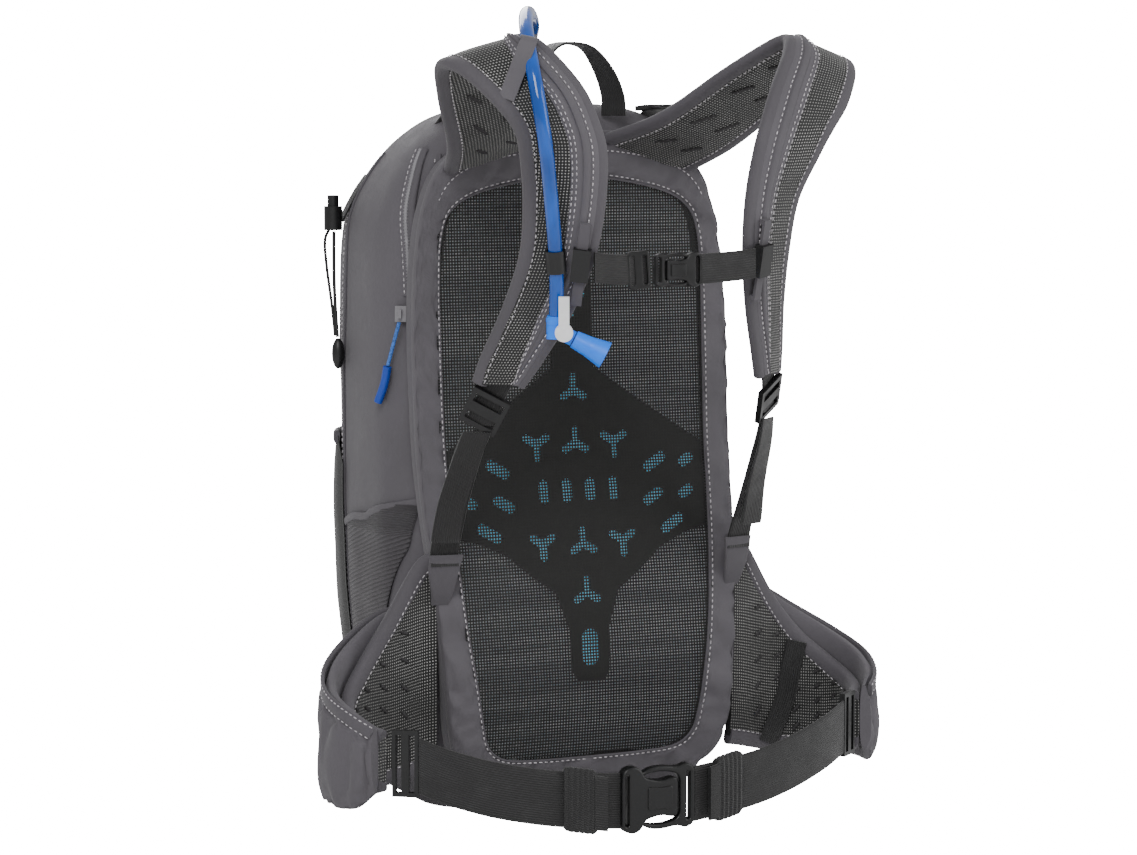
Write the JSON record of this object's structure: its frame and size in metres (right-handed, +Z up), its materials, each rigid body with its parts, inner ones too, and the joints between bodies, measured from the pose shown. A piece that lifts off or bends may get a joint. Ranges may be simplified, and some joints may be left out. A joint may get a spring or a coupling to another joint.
{
  "type": "ski backpack",
  "caption": "Small technical backpack with padded shoulder straps, sternum strap, winged hip belt, vented back panel and a drink tube clipped to one strap.",
  "frame": {"origin": "centre of the flat base the pack stands on", "axes": "+X to the right as seen by someone facing the back panel, +Y from the back panel into the bag, +Z up to the haul loop"},
  "size_m": [0.415, 0.3599, 0.5634],
  "materials": {
    "grey_fabric": "matte woven nylon",
    "black_mesh": "3D spacer mesh",
    "grey_padding": "fabric over foam",
    "vent_plate": "matt moulded",
    "blue_foam": "light blue foam",
    "stiffener": "matt sheet",
    "black_webbing": "ribbed webbing",
    "black_plastic": "satin moulded",
    "blue_tube": "glossy translucent tube",
    "blue_valve": "soft silicone",
    "lever_grey": "satin moulded",
    "pull_blue": "soft moulded",
    "black_cord": "braided cord"
  },
  "bodies": {
    "pack": {"back_border": "grey_padding", "back_mesh": "black_mesh", "back_vent_plate": "vent_plate", "back_foam_core": "blue_foam", "back_frame_sheet": "stiffener", "main_bag": "grey_fabric", "front_pocket_panel": "grey_fabric", "side_pocket_left": "grey_fabric", "side_pocket_right": "grey_fabric", "shoulder_pad_left": "grey_padding", "shoulder_pad_right": "grey_padding", "strap_webbing_left": "black_webbing", "strap_webbing_right": "black_webbing", "ladder_lock_left": "black_plastic", "ladder_lock_right": "black_plastic", "anchor_tab_left": "grey_fabric", "anchor_tab_right": "grey_fabric", "load_lifter_web_left": "black_webbing", "load_lifter_web_right": "black_webbing", "load_lifter_buckle_left": "black_plastic", "load_lifter_buckle_right": "black_plastic", "drink_tube": "blue_tube", "tube_port": "black_plastic", "tube_clip": "black_plastic", "valve_elbow": "blue_valve", "bite_valve": "blue_valve", "sternum_rail_left": "black_plastic", "sternum_rail_right": "black_plastic", "hip_wing_left": "grey_padding", "hip_wing_right": "grey_padding", "hip_pocket_left": "grey_fabric", "hip_pocket_right": "grey_fabric", "belt_ladder_left": "black_plastic", "belt_ladder_right": "black_plastic", "belt_webbing_left": "black_webbing", "belt_webbing_right": "black_webbing", "waist_buckle_female": "black_plastic", "web_keeper_left": "black_webbing", "cord_lock_body": "black_plastic", "cord_lock_cord": "black_cord", "cord_lock_tip": "black_plastic"},
    "sternum_strap": {"sternum_slider_left": "black_plastic", "sternum_slider_right": "black_plastic", "sternum_webbing_left": "black_webbing", "sternum_webbing_right": "black_webbing", "sternum_buckle_female": "black_plastic"},
    "sternum_prong_half": {"sternum_buckle_male": "black_plastic"},
    "waist_prong_half": {"waist_buckle_male": "black_plastic", "web_keeper_right": "black_webbing"},
    "lever": {"valve_lever": "lever_grey"},
    "loop": {"haul_loop": "black_webbing"},
    "reservoir_slider": {"reservoir_zip_slider": "black_plastic"},
    "reservoir_pull": {"reservoir_zip_cord": "pull_blue", "reservoir_zip_grip": "pull_blue"},
    "main_slider": {"main_zip_slider": "black_plastic"},
    "main_pull": {"main_zip_pull": "black_plastic"},
    "lock_button": {"cord_lock_button": "black_plastic"}
  },
  "joints": [
    {"name": "sternum_height", "type": "slide", "parent": "pack", "child": "sternum_strap", "axis": [0, -0.262, 0.9651], "range_m": [-0.014, 0.014]},
    {"name": "sternum_buckle_release", "type": "slide", "parent": "sternum_strap", "child": "sternum_prong_half", "axis": [-1, 0, 0], "range_m": [0, 0.013], "deforming": ["sternum_webbing_left"]},
    {"name": "waist_buckle_release", "type": "slide", "parent": "pack", "child": "waist_prong_half", "axis": [1, 0, 0], "range_m": [0, 0.024], "deforming": ["belt_webbing_right"]},
    {"name": "valve_lever_turn", "type": "hinge", "parent": "pack", "child": "lever", "pos_m": [-0.0752, -0.2301, 0.3512], "axis": [-0.4169, -0.8983, -0.139], "range_deg": [0, 90]},
    {"name": "haul_loop_fold", "type": "hinge", "parent": "pack", "child": "loop", "pos_m": [0.004, -0.07, 0.489], "axis": [1, 0, 0], "range_deg": [-25, 10]},
    {"name": "reservoir_zip_run", "type": "slide", "parent": "pack", "child": "reservoir_slider", "axis": [0.0333, 0.0399, 0.9986], "range_m": [0, 0.045]},
    {"name": "reservoir_pull_swing", "type": "hinge", "parent": "reservoir_slider", "child": "reservoir_pull", "pos_m": [-0.1246, -0.0654, 0.3463], "axis": [-0.8123, 0.5832, 0], "range_deg": [0, 60]},
    {"name": "main_zip_run", "type": "slide", "parent": "pack", "child": "main_slider", "axis": [-0.0199, -0.0797, 0.9966], "range_m": [-0.02, 0.025]},
    {"name": "main_pull_swing", "type": "hinge", "parent": "main_slider", "child": "main_pull", "pos_m": [0.11871, 0.0681, 0.3552], "axis": [-0.7283, 0.6853, 0], "range_deg": [-75, 0]},
    {"name": "cord_lock_press", "type": "slide", "parent": "pack", "child": "lock_button", "axis": [0, 0, -1], "range_m": [0, 0.003], "stiffness_N_per_m": 400, "springref_m": -0.004}
  ]
}
